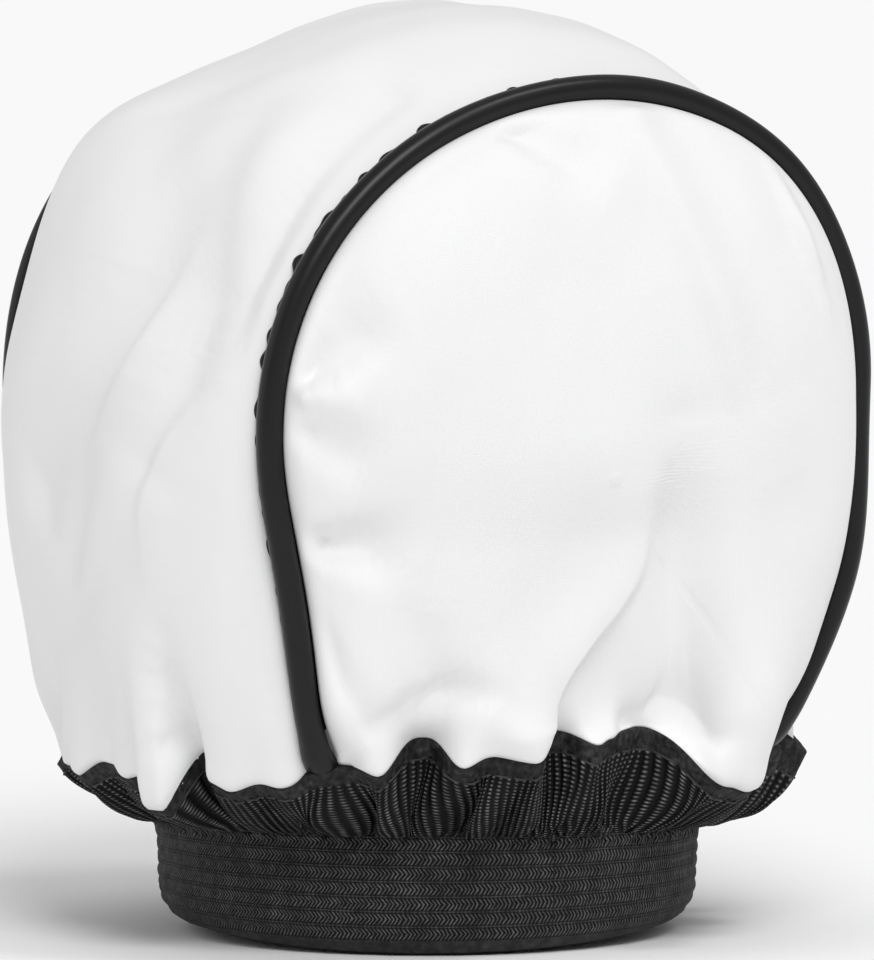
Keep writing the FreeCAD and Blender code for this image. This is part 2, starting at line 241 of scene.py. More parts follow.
# Each fold of the gathered seam: where it is round the band, its half width (degrees), how far it tucks
# in (mm, negative for a lobe that stands out) and how far its tip leans round the band (degrees).
FRONT_FOLDS = [
    (-112, 5.0, 1.6, 0.0),
    (-89, 6.0, 0.9, 0.0),
    (-73, 4.6, -1.4, 0.0),
    (-67.2, 2.5, 3.4, -0.4),
    (-45, 3.0, 0.5, 0.0),
    (-38.5, 4.5, 1.6, 0.0),
    (-29, 5.2, 6.8, 0.0),
    (-15.5, 10.0, 3.2, 0.0),
    (-1.5, 6.0, 8.6, -1.2),
    (7.5, 4.2, 5.2, 0.0),
    (14.5, 5.6, 8.8, 2.4),
    (31, 4.0, -0.8, 0.0),
    (40.5, 4.5, 2.2, 0.0),
    (53, 4.5, 4.0, 0.8),
    (63, 4.5, -1.7, 0.0),
]


def back_folds():
    """Folds on the far side, as uneven as the near ones."""
    rng = np.random.default_rng(7)
    folds = []
    azimuth = 74.0
    while azimuth < 240:
        width = rng.uniform(2.6, 4.8)
        depth = rng.uniform(1.6, 7.0)
        folds.append((azimuth, width, depth, rng.uniform(-1.2, 1.2)))
        azimuth += width + rng.uniform(6.0, 15.0)
    return folds


FOLDS = np.array(FRONT_FOLDS + back_folds())


def fold_depth(azimuth, climb=0.0):
    """How far the folds tuck in, and their sideways lean, at a distance up the cloth from the seam."""
    azimuth = np.asarray(azimuth, float)
    climb = np.broadcast_to(np.asarray(climb, float), azimuth.shape)
    depth = np.zeros(azimuth.shape)
    sway = np.zeros(azimuth.shape)
    for centre, width, tuck, tip in FOLDS:
        away = turn_from(azimuth, centre)
        spread = width * (1 + climb / 11.0)
        shape = np.exp(-(np.abs(away / spread) ** 2.7) * 1.4) * np.exp(-climb / (2.1 * width + 3.0))
        depth += tuck * shape
        sway += tip * shape
    return depth, sway


def tube_top(azimuth):
    """Height at which the relaxed tube turns into the frill."""
    return TUBE_HEIGHT + TUBE_TILT * np.cos(np.radians(azimuth - TUBE_TALL_SIDE))


def at_feet(azimuth, width):
    """1 where a hoop's foot meets the seam, falling away within width degrees."""
    shares = [np.exp(-(turn_from(azimuth, foot) / width) ** 2) for foot in FOOT_AZIMUTHS]
    return np.sum(shares, axis=0)


def seam_curve(azimuth):
    """The ruffled seam: radius, height and true azimuth for nominal azimuths in degrees."""
    depth, sway = fold_depth(azimuth)
    ripple = 0.22 * np.sin(np.radians(azimuth) * 29 + 0.6) + 0.12 * np.sin(np.radians(azimuth) * 47)
    radius = np.minimum(SEAM_RADIUS - depth + ripple, SEAM_RADIUS + 1.4)
    drawn = FRILL_LENGTH + FRILL_DRAW * bump(turn_from(azimuth, DRAW_SIDE) / 26)
    reach = np.clip(radius - TUBE_RADIUS_HIGH, 0.5, drawn - 0.3)
    height = tube_top(azimuth) + np.sqrt(drawn**2 - reach**2)
    height = height + FOOT_PULL * at_feet(azimuth, 4.5)
    return radius, height, np.asarray(azimuth) + sway


def polar(radius, azimuth, height):
    """Points from cylindrical coordinates, with the azimuth in degrees."""
    angle = np.radians(azimuth)
    return np.stack([radius * np.cos(angle), radius * np.sin(angle), height], -1)


# ---- meshes


def grid_quads(rows, columns, wrap_rows=False, wrap_columns=False):
    """Vertex indices of a grid's quads, facing along row x column."""
    index = np.arange(rows * columns).reshape(rows, columns)
    if wrap_rows:
        index = np.vstack([index, index[:1]])
    if wrap_columns:
        index = np.hstack([index, index[:, :1]])
    a, b = index[:-1, :-1], index[1:, :-1]
    c, d = index[1:, 1:], index[:-1, 1:]
    return np.stack([a, b, c, d], -1).reshape(-1, 4)


def build(name, points, faces, material, slot, pattern=None):
    """A smooth mesh piece from points in millimetres; pattern gives each point's place in its weave."""
    faces = faces if isinstance(faces, list) else [faces]
    mesh = bpy.data.meshes.new(name)
    points = np.asarray(points, float).reshape(-1, 3)
    mesh.vertices.add(len(points))
    mesh.vertices.foreach_set("co", (points * MM).astype(np.float32).ravel())
    corners = np.concatenate([f.ravel() for f in faces])
    sizes = np.concatenate([np.full(len(f), f.shape[1]) for f in faces])
    mesh.loops.add(len(corners))
    mesh.loops.foreach_set("vertex_index", corners.astype(np.int32))
    mesh.polygons.add(len(sizes))
    starts = np.concatenate([[0], np.cumsum(sizes)[:-1]])
    mesh.polygons.foreach_set("loop_start", starts.astype(np.int32))
    mesh.polygons.foreach_set("use_smooth", np.ones(len(sizes), bool))
    if pattern is not None:
        layer = mesh.uv_layers.new(name="pattern")
        layer.data.foreach_set("uv", pattern.reshape(-1, 2)[corners].astype(np.float32).ravel())
    mesh.update()
    mesh.validate()
    piece = bpy.data.objects.new(name, mesh)
    bpy.context.scene.collection.objects.link(piece)
    mesh.materials.append(material)
    return piece


def surface_normals(points, wrap_columns=False):
    """Unit normals of a grid of points, along row x column."""
    if wrap_columns:
        along = (np.roll(points, -1, 1) - np.roll(points, 1, 1)) / 2
    else:
        along = np.gradient(points, axis=1)
    up = np.gradient(points, axis=0)
    normal = np.cross(up, along)
    return normal / np.maximum(np.linalg.norm(normal, axis=-1, keepdims=True), 1e-9)


def sheet_shell(points, outward, thickness, pattern):
    """Points, faces and pattern of a thin closed shell on a grid of outer points, with a sharp rim."""
    rows, columns = points.shape[:2]
    outer = points.reshape(-1, 3)
    inner = (points - outward * thickness).reshape(-1, 3)
    pattern = pattern.reshape(-1, 2)
    count = rows * columns
    quads = grid_quads(rows, columns)[:, ::-1]
    index = np.arange(count).reshape(rows, columns)
    loop = np.concatenate([index[0, :-1], index[:-1, -1], index[-1, :0:-1], index[:0:-1, 0]])
    around = len(loop)
    ring = np.arange(around) + 2 * count
    after = np.roll(ring, -1)
    rim = np.stack([ring, ring + around, after + around, after], -1)
    faces = [quads, quads[:, ::-1] + count, rim]
    pattern = np.concatenate([pattern, pattern, pattern[loop], pattern[loop]])
    return np.concatenate([outer, inner, outer[loop], inner[loop]]), faces, pattern


def tube_faces(stations, sides):
    """A closed tube's skin and its two ends, as faces of rings of points."""
    first = np.arange(sides)[None, :]
    last = first[:, ::-1] + (stations - 1) * sides
    return [grid_quads(stations, sides, wrap_columns=True)[:, ::-1], first, last]


def tube(centres, radius, sides):
    """Points and faces of a round tube along centres; radius may vary along it."""
    centres = np.asarray(centres, float)
    tangent = unit(np.gradient(centres, axis=0))
    start = np.cross(tangent[0], [0.31, 0.52, 0.79])
    normals = [start / np.linalg.norm(start)]
    for t in tangent[1:]:
        n = normals[-1] - t * np.dot(normals[-1], t)
        normals.append(n / np.linalg.norm(n))
    normals = np.array(normals)
    binormals = np.cross(tangent, normals)
    turn = np.linspace(0, TURN, sides, endpoint=False)
    radius = np.broadcast_to(radius, len(centres))[:, None, None]
    turn = turn[None, :, None]
    ring = normals[:, None] * np.cos(turn) + binormals[:, None] * np.sin(turn)
    points = (centres[:, None] + ring * radius).reshape(-1, 3)
    return points, tube_faces(len(centres), sides)


def join(parts):
    """One list of points and faces from several."""
    points, faces, count = [], [], 0
    for p, f in parts:
        points.append(np.asarray(p).reshape(-1, 3))
        faces += [each + count for each in (f if isinstance(f, list) else [f])]
        count += len(points[-1])
    return np.concatenate(points), faces


# ---- materials


def material(name):
    """A new material, its node tree and its shader."""
    made = bpy.data.materials.new(name)
    made.use_nodes = True
    return made, made.node_tree, made.node_tree.nodes["Principled BSDF"]


def put(node, **values):
    """Sets a node's inputs by name, with _ for each space."""
    for name, value in values.items():
        node.inputs[name.replace("_", " ")].default_value = value


def link(tree, socket, value):
    """Sets a socket to a number or links it to another socket."""
    if isinstance(value, (int, float)):
        socket.default_value = value
    else:
        tree.links.new(value, socket)


def calc(tree, operation, *values, use_clamp=False):
    """One math node, with numbers or sockets for its inputs."""
    node = tree.nodes.new("ShaderNodeMath")
    node.operation = operation
    node.use_clamp = use_clamp
    for socket, value in zip(node.inputs, values):
        link(tree, socket, value)
    return node.outputs[0]


def pattern_place(tree):
    """The two coordinates of the piece's own pattern."""
    place = tree.nodes.new("ShaderNodeUVMap")
    place.uv_map = "pattern"
    split = tree.nodes.new("ShaderNodeSeparateXYZ")
    tree.links.new(place.outputs[0], split.inputs[0])
    return split.outputs[0], split.outputs[1]


def noise(tree, scale, detail=3.0):
    """Noise in the object's own space, 0 to 1; scale is in cells per metre."""
    where = tree.nodes.new("ShaderNodeTexCoord")
    node = tree.nodes.new("ShaderNodeTexNoise")
    put(node, Scale=scale, Detail=detail)
    tree.links.new(where.outputs["Object"], node.inputs["Vector"])
    return node.outputs[0]


def wave(tree, phase):
    """0 to 1 to 0 over each whole step of the phase."""
    cosine = calc(tree, "COSINE", calc(tree, "MULTIPLY", phase, TURN))
    return calc(tree, "MULTIPLY_ADD", cosine, -0.5, 0.5)


def ramp(tree, value, low, high):
    """Black-to-white share turned into a grey between two values."""
    node = tree.nodes.new("ShaderNodeMapRange")
    link(tree, node.inputs["Value"], value)
    put(node, To_Min=low, To_Max=high)
    return node.outputs[0]


def grey(tree, shader, value, tint=(1.0, 1.0, 1.0)):
    """Colours the shader with a grey of a varying value."""
    combine = tree.nodes.new("ShaderNodeCombineColor")
    for socket, share in zip(combine.inputs, tint):
        link(tree, socket, calc(tree, "MULTIPLY", value, share))
    tree.links.new(combine.outputs[0], shader.inputs["Base Color"])


def relief_bump(tree, shader, height, distance):
    """Fine relief, with its depth in millimetres."""
    node = tree.nodes.new("ShaderNodeBump")
    put(node, Strength=1.0, Distance=distance * MM)
    tree.links.new(height, node.inputs["Height"])
    tree.links.new(node.outputs[0], shader.inputs["Normal"])


def white_nylon():
    """Fine plain-woven nylon, faintly uneven."""
    made, tree, shader = material("white_nylon")
    across, along = pattern_place(tree)
    warp = wave(tree, calc(tree, "DIVIDE", across, THREAD_WIDTH))
    weft = wave(tree, calc(tree, "DIVIDE", along, THREAD_WIDTH))
    weave = calc(tree, "MULTIPLY", warp, weft)
    height = calc(tree, "MULTIPLY_ADD", noise(tree, 900.0, 4.0), 0.8, weave)
    relief_bump(tree, shader, height, 0.011)
    grey(tree, shader, ramp(tree, noise(tree, 60.0), 0.80, 0.85), (1.0, 1.0, 1.004))
    put(shader, Roughness=0.6, Sheen_Weight=0.15, Sheen_Roughness=0.4)
    return made


def ribbed_knit():
    """The elastic's face: straight cords with a herringbone of fine yarn between them."""
    made, tree, shader = material("black_ribbed_knit")
    around, up = pattern_place(tree)
    within = calc(tree, "FRACT", up)
    from_middle = calc(tree, "ABSOLUTE", calc(tree, "SUBTRACT", within, 0.5))
    uneven = calc(tree, "MULTIPLY_ADD", noise(tree, 700.0), 0.9, around)
    yarn = wave(tree, calc(tree, "MULTIPLY_ADD", from_middle, 2.6, uneven))
    beside_cord = calc(tree, "MULTIPLY_ADD", from_middle, -8.0, 3.6, use_clamp=True)
    yarn = calc(tree, "MULTIPLY", yarn, beside_cord)
    cord = calc(tree, "MULTIPLY_ADD", from_middle, 9.0, -3.5, use_clamp=True)
    cord = calc(tree, "MULTIPLY", cord, ramp(tree, wave(tree, uneven), 0.45, 1.0))
    knitted = calc(tree, "GREATER_THAN", up, 0.02)
    height = calc(tree, "MULTIPLY", calc(tree, "MAXIMUM", yarn, cord), knitted)
    selvedge = calc(tree, "MULTIPLY_ADD", knitted, -0.45, 0.45)
    height = calc(tree, "ADD", height, selvedge)
    # The colour follows the relief: painted highlight on the raised cords and yarn, painted shade in the
    # gaps between them, made uneven by noise.
    painted_highlight_uneven = calc(tree, "MULTIPLY", height, ramp(tree, noise(tree, 260.0), 0.45, 1.15))
    painted_highlight_uneven = calc(tree, "MULTIPLY", painted_highlight_uneven, ramp(tree, noise(tree, 1100.0, 2.0), 0.3, 1.5))
    relief_bump(tree, shader, height, 0.24)
    grey(tree, shader, ramp(tree, calc(tree, "POWER", painted_highlight_uneven, 1.7), 0.0, 0.17))
    put(shader, Roughness=0.65, Specular_IOR_Level=0.2)
    return made


def column_knit():
    """The slack elastic of the frill: columns of short bars."""
    made, tree, shader = material("black_column_knit")
    around, up = pattern_place(tree)
    uneven = calc(tree, "MULTIPLY", noise(tree, 400.0), 0.35)
    column = wave(tree, around)
    bar = wave(tree, calc(tree, "ADD", up, uneven))
    stitch = calc(tree, "MULTIPLY", calc(tree, "POWER", column, 1.2), ramp(tree, bar, 0.08, 1.0))
    in_hem = calc(tree, "GREATER_THAN", up, LAST_BAR - 0.05)
    hem = calc(tree, "MULTIPLY", noise(tree, 1300.0, 2.0), calc(tree, "MULTIPLY", in_hem, 0.62))
    stitch = calc(tree, "MULTIPLY", stitch, calc(tree, "SUBTRACT", 1.0, in_hem))
    face = calc(tree, "MAXIMUM", hem, stitch)
    # The colour follows the relief: painted highlight on the raised bars, painted shade between the
    # columns and bars, made uneven by noise; the hem's grey is a random speckle.
    painted_highlight_uneven = calc(tree, "MULTIPLY", face, ramp(tree, noise(tree, 220.0), 0.35, 1.3))
    painted_highlight_uneven = calc(tree, "MULTIPLY", painted_highlight_uneven, ramp(tree, noise(tree, 1000.0, 2.0), 0.4, 1.5))
    relief_bump(tree, shader, face, 0.3)
    grey(tree, shader, ramp(tree, calc(tree, "POWER", painted_highlight_uneven, 2.0), 0.001, 0.3))
    put(shader, Roughness=0.65, Specular_IOR_Level=0.2)
    return made


def black_vinyl():
    made, tree, shader = material("black_vinyl")
    relief_bump(tree, shader, noise(tree, 700.0, 4.0), 0.02)
    grey(tree, shader, ramp(tree, noise(tree, 90.0), 0.003, 0.006))
    put(shader, Roughness=0.34, Specular_IOR_Level=0.3)
    return made


def thread(name, colour):
    """Twisted thread."""
    made, tree, shader = material(name)
    relief_bump(tree, shader, noise(tree, 2600.0, 2.0), 0.06)
    grey(tree, shader, ramp(tree, noise(tree, 1300.0), 0.75 * colour, 1.1 * colour))
    put(shader, Roughness=0.6)
    return made


def plain(name, colour, roughness):
    made, tree, shader = material(name)
    put(shader, Base_Color=(*colour, 1), Roughness=roughness)
    return made


NYLON = white_nylon()
RIBBED_KNIT = ribbed_knit()
COLUMN_KNIT = column_knit()
VINYL = black_vinyl()
BLACK_THREAD = thread("black_thread", 0.03)
WHITE_THREAD = thread("white_thread", 0.8)
FILLER = plain("filler_cord", (0.6, 0.59, 0.56), 0.7)

# ---- camera

VIEW_AZIMUTH = 62.0
VIEW_ELEVATION = 6.0
VIEW_DISTANCE = 5.0
VIEW_HEIGHT = 0.1231  # height of the object's plane that fills the picture
AIM = (0.0006, 0.0011, 0.0577)


def aimed(name, data, back, target=(0, 0, 0), distance=1.0):
    """Adds a camera or light that stands back from its target and looks at it."""
    made = bpy.data.objects.new(name, data)
    bpy.context.scene.collection.objects.link(made)
    made.location = Vector(target) + back * distance
    made.rotation_mode = "QUATERNION"
    made.rotation_quaternion = back.to_track_quat("Z", "Y")
    return made


def camera():
    data = bpy.data.cameras.new("camera")
    data.sensor_width = 36.0
    data.lens = data.sensor_width * VIEW_DISTANCE / VIEW_HEIGHT
    data.clip_start = 0.05
    data.clip_end = 50.0
    around, up = math.radians(VIEW_AZIMUTH), math.radians(VIEW_ELEVATION)
    back = Vector((math.sin(around) * math.cos(up), -math.cos(around) * math.cos(up), math.sin(up)))
    bpy.context.scene.camera = aimed("camera", data, back, AIM, VIEW_DISTANCE)


# ---- elastic band


def rim_lift(azimuth):
    """How far the soft tube's lower edge stands above the floor."""
    return RIM_LIFT * np.sin(np.radians(azimuth - RIM_LIFT_SIDE - 90)) ** 2


def crumple(azimuth, height, size):
    """Uneven yarn and small puckers, within about 1 and -1; size is their spacing in mm."""
    rng = np.random.default_rng(5)
    around = np.radians(azimuth)
    total = np.zeros(np.shape(azimuth))
    for _ in range(7):
        turns = round(rng.uniform(0.6, 1.5) * TURN * TUBE_RADIUS_HIGH / size)
        climb = rng.uniform(0.4, 1.2) * TURN / size
        total += np.sin(around * turns + height * climb * rng.choice([-1, 1]) + rng.uniform(0, TURN))
    return total / 3.5


def knit_tube():
    """The relaxed, ribbed part of the elastic, with its smooth selvedge along the lower edge."""
    columns = 1440
    azimuth = np.linspace(0, 360, columns, endpoint=False)
    share, a = np.meshgrid(np.linspace(0.03, 1.08, 84), azimuth, indexing="ij")
    lift = rim_lift(a)
    z = share * (tube_top(a) - lift) + lift
    radius = TUBE_RADIUS_LOW + (TUBE_RADIUS_HIGH - TUBE_RADIUS_LOW) * np.clip(share, 0, 1) ** 0.8
    radius -= 2.0 * np.clip((4.2 - z + lift) / 4.2, 0, 1) ** 2
    selvedge = lift + SELVEDGE_HEIGHT * (1 - 0.7 * lift / RIM_LIFT)
    ribs = round((TUBE_HEIGHT - SELVEDGE_HEIGHT) / RIB_PITCH)
    rib = (z - selvedge) / (tube_top(a) - selvedge) * ribs
    across = rib - np.floor(rib)
    knitted = smooth((z - selvedge + 0.2) / 0.4)
    round_rib = np.abs(np.cos(math.pi * across)) ** 0.8
    slack = step_up(share, 0.86, 0.16)
    radius += knitted * 0.2 * round_rib
    radius += LAP_RISE * smooth((LAP_HALF_TURN - np.abs(a - JOIN_AZIMUTH)) / 0.5)
    radius += 0.10 * crumple(a, z, 6.0) + slack * (0.5 * crumple(a, z, 2.4) + 0.2)
    outer = polar(radius, a, z)
    lift = rim_lift(azimuth)

    def ring(r, height):
        return polar(np.full(columns, r), azimuth, height + lift)

    rim = [ring(r, h) for r, h in RIM_PROFILE]
    inner = [
        ring(BORE_RADIUS + 0.1 * math.cos(h * TURN / RIB_PITCH), h) for h in np.linspace(2.4, BORE_TOP, 26)
    ]
    rows = np.concatenate([np.stack(inner[::-1]), np.stack(rim[::-1]), outer])
    faces = grid_quads(len(rows), columns, wrap_rows=True, wrap_columns=True)[:, ::-1]
    around = a / 360 * STITCHES_ROUND
    plain_rows = len(rows) - len(outer)
    pattern = np.zeros((*rows.shape[:2], 2))
    pattern[..., 0] = np.concatenate([around[:1].repeat(plain_rows, 0), around])
    pattern[plain_rows:, :, 1] = np.maximum(rib, 0)
    pattern[:plain_rows, :, 1] = np.linspace(-8, 0, plain_rows)[:, None]
    return build("band_knit", rows, faces, RIBBED_KNIT, "black_elastic", pattern)


def frill_droop(azimuth):
    """The power of the frill's climb: the higher, the further it runs outwards before it climbs."""
    return 1.5 + 1.7 * bump(turn_from(azimuth, DROOP_SIDE) / 42)


def frill_surface(azimuth, share):
    """Radius, azimuth and height of the frill's outer face, from the tube (share 0) to the seam (1)."""
    radius, height, true = seam_curve(azimuth)
    start = TUBE_RADIUS_HIGH + 0.3
    top = tube_top(azimuth)
    positive = np.clip(share, 0, 1)
    r = start + (radius - start) * (positive**0.9 + np.minimum(share, 0))
    z = top + (height - top) * (positive ** frill_droop(azimuth) + 0.6 * np.minimum(share, 0))
    az = azimuth + (true - azimuth) * positive**1.3
    ruffle = RUFFLE * positive**0.8 * (1 - positive) ** 1.2
    flute = crumple(azimuth, 0.35 * z, 6.8)
    r = r + ruffle * 2.0 * flute
    az = az + 1.8 * ruffle * crumple(azimuth + 3, 0.35 * z, 7.4)
    low = hump(share, 0.1, 0.25)
    r = r + 0.7 * low * crumple(azimuth, z, 2.6)
    return r, az, z


def frill():
    """The stretched upper part of the elastic, ruffled by the cloth that it gathers."""
    columns = FRILL_COLUMNS * 5
    azimuth = np.linspace(0, 360, columns, endpoint=False)
    share, a = np.meshgrid(np.linspace(-0.08, 1.0, 46), azimuth, indexing="ij")
    points = polar(*frill_surface(a, share))
    normal = surface_normals(points, wrap_columns=True)
    hem = step_up(share, HEM_SHARE, 0.05)
    column = np.abs(np.sin(math.pi * a / 360 * FRILL_COLUMNS))
    ridge = 0.34 * (column**0.7 - 0.6) * (1 - 0.8 * hem) * smooth(share / 0.1)
    outer = points - normal * ridge[..., None]
    inner = points + normal * FRILL_THICKNESS
    rows = np.concatenate([outer, inner[::-1]])
    faces = grid_quads(len(rows), columns, wrap_rows=True, wrap_columns=True)
    bars = share * FRILL_LENGTH / BAR_PITCH
    pattern = np.stack([a / 360 * FRILL_COLUMNS, np.minimum(bars, LAST_BAR)], -1)
    pattern = np.concatenate([pattern, pattern[::-1]])
    return build("band_frill", rows, faces[:, ::-1], COLUMN_KNIT, "black_elastic", pattern)


# ---- piping


def hoop_centres(side, stations=460):
    """The centre line of one hoop and its lengths, from the -Y foot over the top to the +Y foot."""
    reach = ARCH.half_length + FOOT_RUN
    length = np.linspace(-reach, reach, stations)
    point, normal = ARCH.at(length)
    wobble = 0.16 * np.sin(length / 9.0 + side) + 0.10 * np.sin(length / 4.3)
    flat = point + normal * wobble[:, None] * 0.6
    centres = np.column_stack([side * HOOP_X + 0.5 * wobble, flat])
    centres = lean(centres)
    below = np.clip((np.abs(length) - ARCH.half_length + 26) / 26, 0, 1.1)
    inward = 1.5 * below**2 + 1.5 * smooth((np.abs(length) - ARCH.half_length + 2.0) / 4.0)
    centres[:, 0] -= side * inward
    centres[:, 1] -= 0.8 * np.sign(length) * inward
    return centres, length


def beside_hoop(side, length, across, out):
    """Points beside a hoop: across is along +X from its plane, out is away from the dome's middle."""
    centres, stations = hoop_centres(side)
    middle = np.stack([np.interp(length, stations, centres[:, axis]) for axis in range(3)], -1)
    _, normal = ARCH.at(length)
    middle[..., 0] += across
    middle[..., 1:] += normal * np.asarray(out)[..., None]
    return middle


def piping_flange(side):
    """The tape that the piping is sewn in by, lying inwards from its tube, with its edge a little wavy."""
    reach = ARCH.half_length - 4
    length = np.linspace(-reach, reach, 420)
    half = FLANGE_THICKNESS / 2
    ruffle = 0.25 * np.sin(length / 3.1) + 0.15 * np.sin(length / 1.7 + side)
    top, edge = -1.2, -PIPE_RADIUS - FLANGE_DEPTH
    corners = [(-half, top), (half, top), (half, edge), (-half, edge)]
    sway = [0.0, 0.0, 1.0, 1.0]
    rows = [beside_hoop(side, length, x + ruffle * move, np.full(len(length), out))
            for (x, out), move in zip(corners, sway)]
    faces = [grid_quads(4, len(length), wrap_rows=True)]
    ends = np.arange(4)[None, :] * len(length)
    faces += [ends, ends[:, ::-1] + len(length) - 1]
    return np.stack(rows).reshape(-1, 3), faces


def piping_tacks(side):
    """Small folds of the piping's tape that show beside the tube, on the crown's side."""
    reach = ARCH.half_length - 12
    length = np.linspace(-reach, reach, 900)
    rng = np.random.default_rng(3)
    lump = sum(np.sin(length * TURN / w + rng.uniform(0, TURN)) for w in (3.3, 4.6, 6.1, 9.0)) / 4
    lump = np.clip(lump + 0.2, 0, 1) * (0.5 + 0.5 * smooth((75 - np.abs(length)) / 30))
    centres = beside_hoop(side, length, -side * (PIPE_RADIUS * 0.86 + 0.75 * lump), 0.75 + 0.2 * lump)
    return tube(centres, 0.3 + 0.36 * lump, 10)


def piping_skin(centres, length, radius, sides=28):
    """The piping's tube, round along the hoop and pressed flat where its ends are sewn in."""
    tangent = unit(np.gradient(centres, axis=0))
    across = unit(np.array([1.0, 0, 0]) - tangent * tangent[:, :1])
    outward = np.cross(tangent, across)
    turn = np.linspace(0, TURN, sides, endpoint=False)[None, :, None]
    ring = across[:, None] * np.cos(turn) + outward[:, None] * np.sin(turn)
    flat = smooth((np.abs(length) - ARCH.half_length + 5) / 6)[:, None, None]
    away = unit(centres * [1, 1, 0])[:, None]
    depth = (ring * away).sum(-1, keepdims=True)
    ring = ring * (1 + 0.25 * flat) - away * depth * 0.6 * flat
    points = centres[:, None] + ring * radius[:, None, None]
    return points.reshape(-1, 3), [faces[:, ::-1] for faces in tube_faces(len(centres), sides)]


def piping(word, side):
    centres, length = hoop_centres(side)
    radius = PIPE_RADIUS * (1 + 0.012 * np.sin(length / 6.0))
    parts = [piping_skin(centres, length, radius), piping_flange(side), piping_tacks(side)]
    piece = build(f"piping_tube_{word}", *join(parts), VINYL, "black_vinyl")
    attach(piece, f"hoop_{word}")
    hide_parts(f"piping_{word}")
    core_points, core_faces = tube(centres[28:-28], CORE_RADIUS, 12)
    core = build(f"piping_filler_{word}", core_points, core_faces, FILLER, "filler_cord")
    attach(core, f"hoop_{word}")
    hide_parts(f"piping_core_{word}")


# ---- cloth


def smooth_path(corners, count=90):
    """A smooth curve through two to four corners."""
    last = len(corners) - 1
    curve = np.polyfit(np.arange(last + 1), np.array(corners, float), last)
    share = np.linspace(0, last, count)
    return np.stack([np.polyval(curve[:, 0], share), np.polyval(curve[:, 1], share)], -1)


FRONT_VIEW = [0, 2]  # the crown's folds are placed as seen from the front: to the right, and up
SIDE_VIEW = [1, 2]  # the side panels' folds are placed as seen from the right: to the back, and up


def fold(depth, widths, ends, *corners, flare=1.0):
    """A fold, pucker or ridge: depth in mm (negative stands out), widths to its left and right in mm,
    strength at its start and end, the corners of its path in the view of its cloth, and how many
    times wider it grows towards its end."""
    return depth, widths, ends, smooth_path(corners), flare


CROWN_FOLDS = [
    fold(3.4, (9.5, 8.0), (0.3, 0.4), (-5, 108), (9, 93), (6, 78), (-13, 58)),
    fold(-0.8, (1.5, 3.2), (0.3, 0.3), (14, 91), (10, 78), (3, 64)),
    fold(3.5, (8.0, 6.2), (0.3, 0.3), (10, 109), (19, 93), (22, 78), (19, 64)),
    fold(2.8, (5.6, 3.0), (0.4, 0.1), (25, 110), (28, 92), (28, 75)),
    fold(-0.9, (1.5, 5.0), (0.2, 0.2), (28, 75), (20, 64), (18, 51)),
    fold(0.9, (4.0, 4.0), (0.4, 0.6), (12, 51), (0, 43), (-12, 37)),
    fold(1.1, (4.0, 3.0), (0.3, 0.3), (4, 61), (-2, 52), (-6, 44)),
    fold(1.0, (2.2, 2.6), (1.0, 0.2), (17, 28), (19, 41)),
]
SIDE_FOLDS = [
    fold(-1.6, (3.0, 8.0), (0.6, 0.2), (10, 107), (17, 86), (25, 61)),
    fold(1.5, (5.5, 4.5), (0.7, 0.2), (14, 106), (20, 90), (27, 73)),
    fold(1.3, (1.9, 2.6), (1.0, 0.0), (-8, 107), (5, 99), flare=2.6),
    fold(1.5, (1.3, 1.8), (1.0, 0.1), (-39, 76), (-33, 81), (-26, 85), flare=4.0),
    fold(-0.8, (1.2, 1.2), (1.0, 0.1), (-39, 74), (-30, 73), flare=3.0),
    fold(1.0, (1.4, 1.6), (1.0, 0.1), (-39, 69), (-29, 64), flare=3.6),
    fold(2.0, (1.2, 1.4), (1.0, 0.0), (-38, 54), (-31, 54), (-24, 52), flare=4.2),
    fold(3.0, (5.6, 4.0), (1.0, 0.2), (15, 28), (13, 48), (12, 69)),
    fold(-1.4, (1.2, 5.0), (1.0, 0.2), (-6, 28), (-1, 40), (6, 48), (8, 60)),
    fold(1.0, (2.4, 2.4), (0.5, 0.5), (-26, 32), (-18, 35), (-12, 34)),
    fold(0.5, (3.0, 3.0), (1.0, 0.2), (-20, 36), (-23, 42), (-24, 49)),
    fold(0.8, (2.2, 2.2), (1.0, 0.2), (-29, 31), (-34, 40), (-36, 48)),
    fold(-1.1, (1.4, 1.6), (0.3, 0.3), (29, 100), (35, 83)),
]


def laid_on(path, cloth, view):
    """The path moved onto the cloth points nearest to it in the view, and smoothed."""
    flat = cloth[:, view]
    nearest = [np.argmin(((flat - corner) ** 2).sum(-1)) for corner in path]
    laid = cloth[nearest]
    for _ in range(12):
        laid[1:-1] = (laid[:-2] + 2 * laid[1:-1] + laid[2:]) / 4
    return laid


